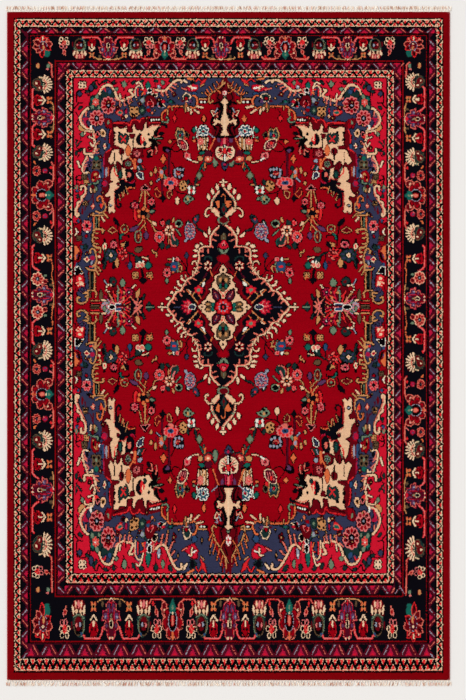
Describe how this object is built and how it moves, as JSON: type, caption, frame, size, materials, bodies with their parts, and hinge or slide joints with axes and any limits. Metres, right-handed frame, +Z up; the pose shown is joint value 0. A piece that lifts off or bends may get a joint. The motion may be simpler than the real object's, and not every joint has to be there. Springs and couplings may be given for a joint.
{
  "type": "area rug",
  "caption": "Rectangular hand-knotted wool area rug with a central medallion, corner figures, banded borders and cotton fringes.",
  "frame": {"origin": "centre of the whole rug in plan, fringes included, on the floor it lies on", "axes": "+X across the width, +Y along the length to the end with the narrower borders, +Z up out of the pile"},
  "size_m": [2.008, 3.071, 0.012],
  "materials": {
    "cotton_foundation": "plied cotton warp and weft, the pattern showing through in flat knots",
    "cotton_warp_bundle": "bundled cotton warps",
    "overcast_wool": "red wool overcast, turn beside turn",
    "kilim_weave": "undyed cotton plain weave",
    "fringe_knots": "knotted cotton warps",
    "fringe_cotton": "loose cotton yarn ends, cream",
    "pile_edge_red": "cut wool pile, plain dark red",
    "pile_guard": "cut wool pile, cream and coral with a black zigzag",
    "pile_minor_border": "cut wool pile, burgundy with grey-blue lattice",
    "pile_main_border": "cut wool pile, navy with palmettes and vine",
    "pile_medallion": "cut wool pile, navy and cream medallion",
    "pile_pendant": "cut wool pile, navy and cream pendant",
    "pile_spandrel": "cut wool pile, slate blue, crimson and cream corners",
    "pile_field": "cut wool pile, deep red with flower sprays"
  },
  "bodies": {
    "rug": {"edge_band_east": "pile_edge_red", "edge_band_north": "pile_edge_red", "edge_band_south": "pile_edge_red", "edge_band_west": "pile_edge_red", "field_ground_east": "pile_field", "field_ground_west": "pile_field", "foundation_weave": "cotton_foundation", "guard_inner_east": "pile_guard", "guard_inner_north": "pile_guard", "guard_inner_south": "pile_guard", "guard_inner_west": "pile_guard", "guard_outer_east": "pile_guard", "guard_outer_north": "pile_guard", "guard_outer_south": "pile_guard", "guard_outer_west": "pile_guard", "kilim_end_north": "kilim_weave", "kilim_end_south": "kilim_weave", "main_border_east": "pile_main_border", "main_border_north": "pile_main_border", "main_border_south": "pile_main_border", "main_border_west": "pile_main_border", "medallion": "pile_medallion", "minor_border_inner_east": "pile_minor_border", "minor_border_inner_north": "pile_minor_border", "minor_border_inner_south": "pile_minor_border", "minor_border_inner_west": "pile_minor_border", "minor_border_outer_east": "pile_minor_border", "minor_border_outer_north": "pile_minor_border", "minor_border_outer_south": "pile_minor_border", "minor_border_outer_west": "pile_minor_border", "pendant_north": "pile_pendant", "pendant_south": "pile_pendant", "selvedge_core_east": "cotton_warp_bundle", "selvedge_core_west": "cotton_warp_bundle", "selvedge_wrap_east": "overcast_wool", "selvedge_wrap_west": "overcast_wool", "spandrel_northeast": "pile_spandrel", "spandrel_northwest": "pile_spandrel", "spandrel_southeast": "pile_spandrel", "spandrel_southwest": "pile_spandrel"},
    "north_fringe": {"fringe_knots_north": "fringe_knots", "fringe_tassels_north": "fringe_cotton"},
    "south_fringe": {"fringe_knots_south": "fringe_knots", "fringe_tassels_south": "fringe_cotton"}
  },
  "joints": [
    {"name": "north_fringe_flip", "type": "hinge", "parent": "rug", "child": "north_fringe", "pos_m": [0, 1.5163, 0.0028], "axis": [1, 0, 0], "range_deg": [0, 110]},
    {"name": "south_fringe_flip", "type": "hinge", "parent": "rug", "child": "south_fringe", "pos_m": [0, -1.5163, 0.0028], "axis": [-1, 0, 0], "range_deg": [0, 110]}
  ]
}
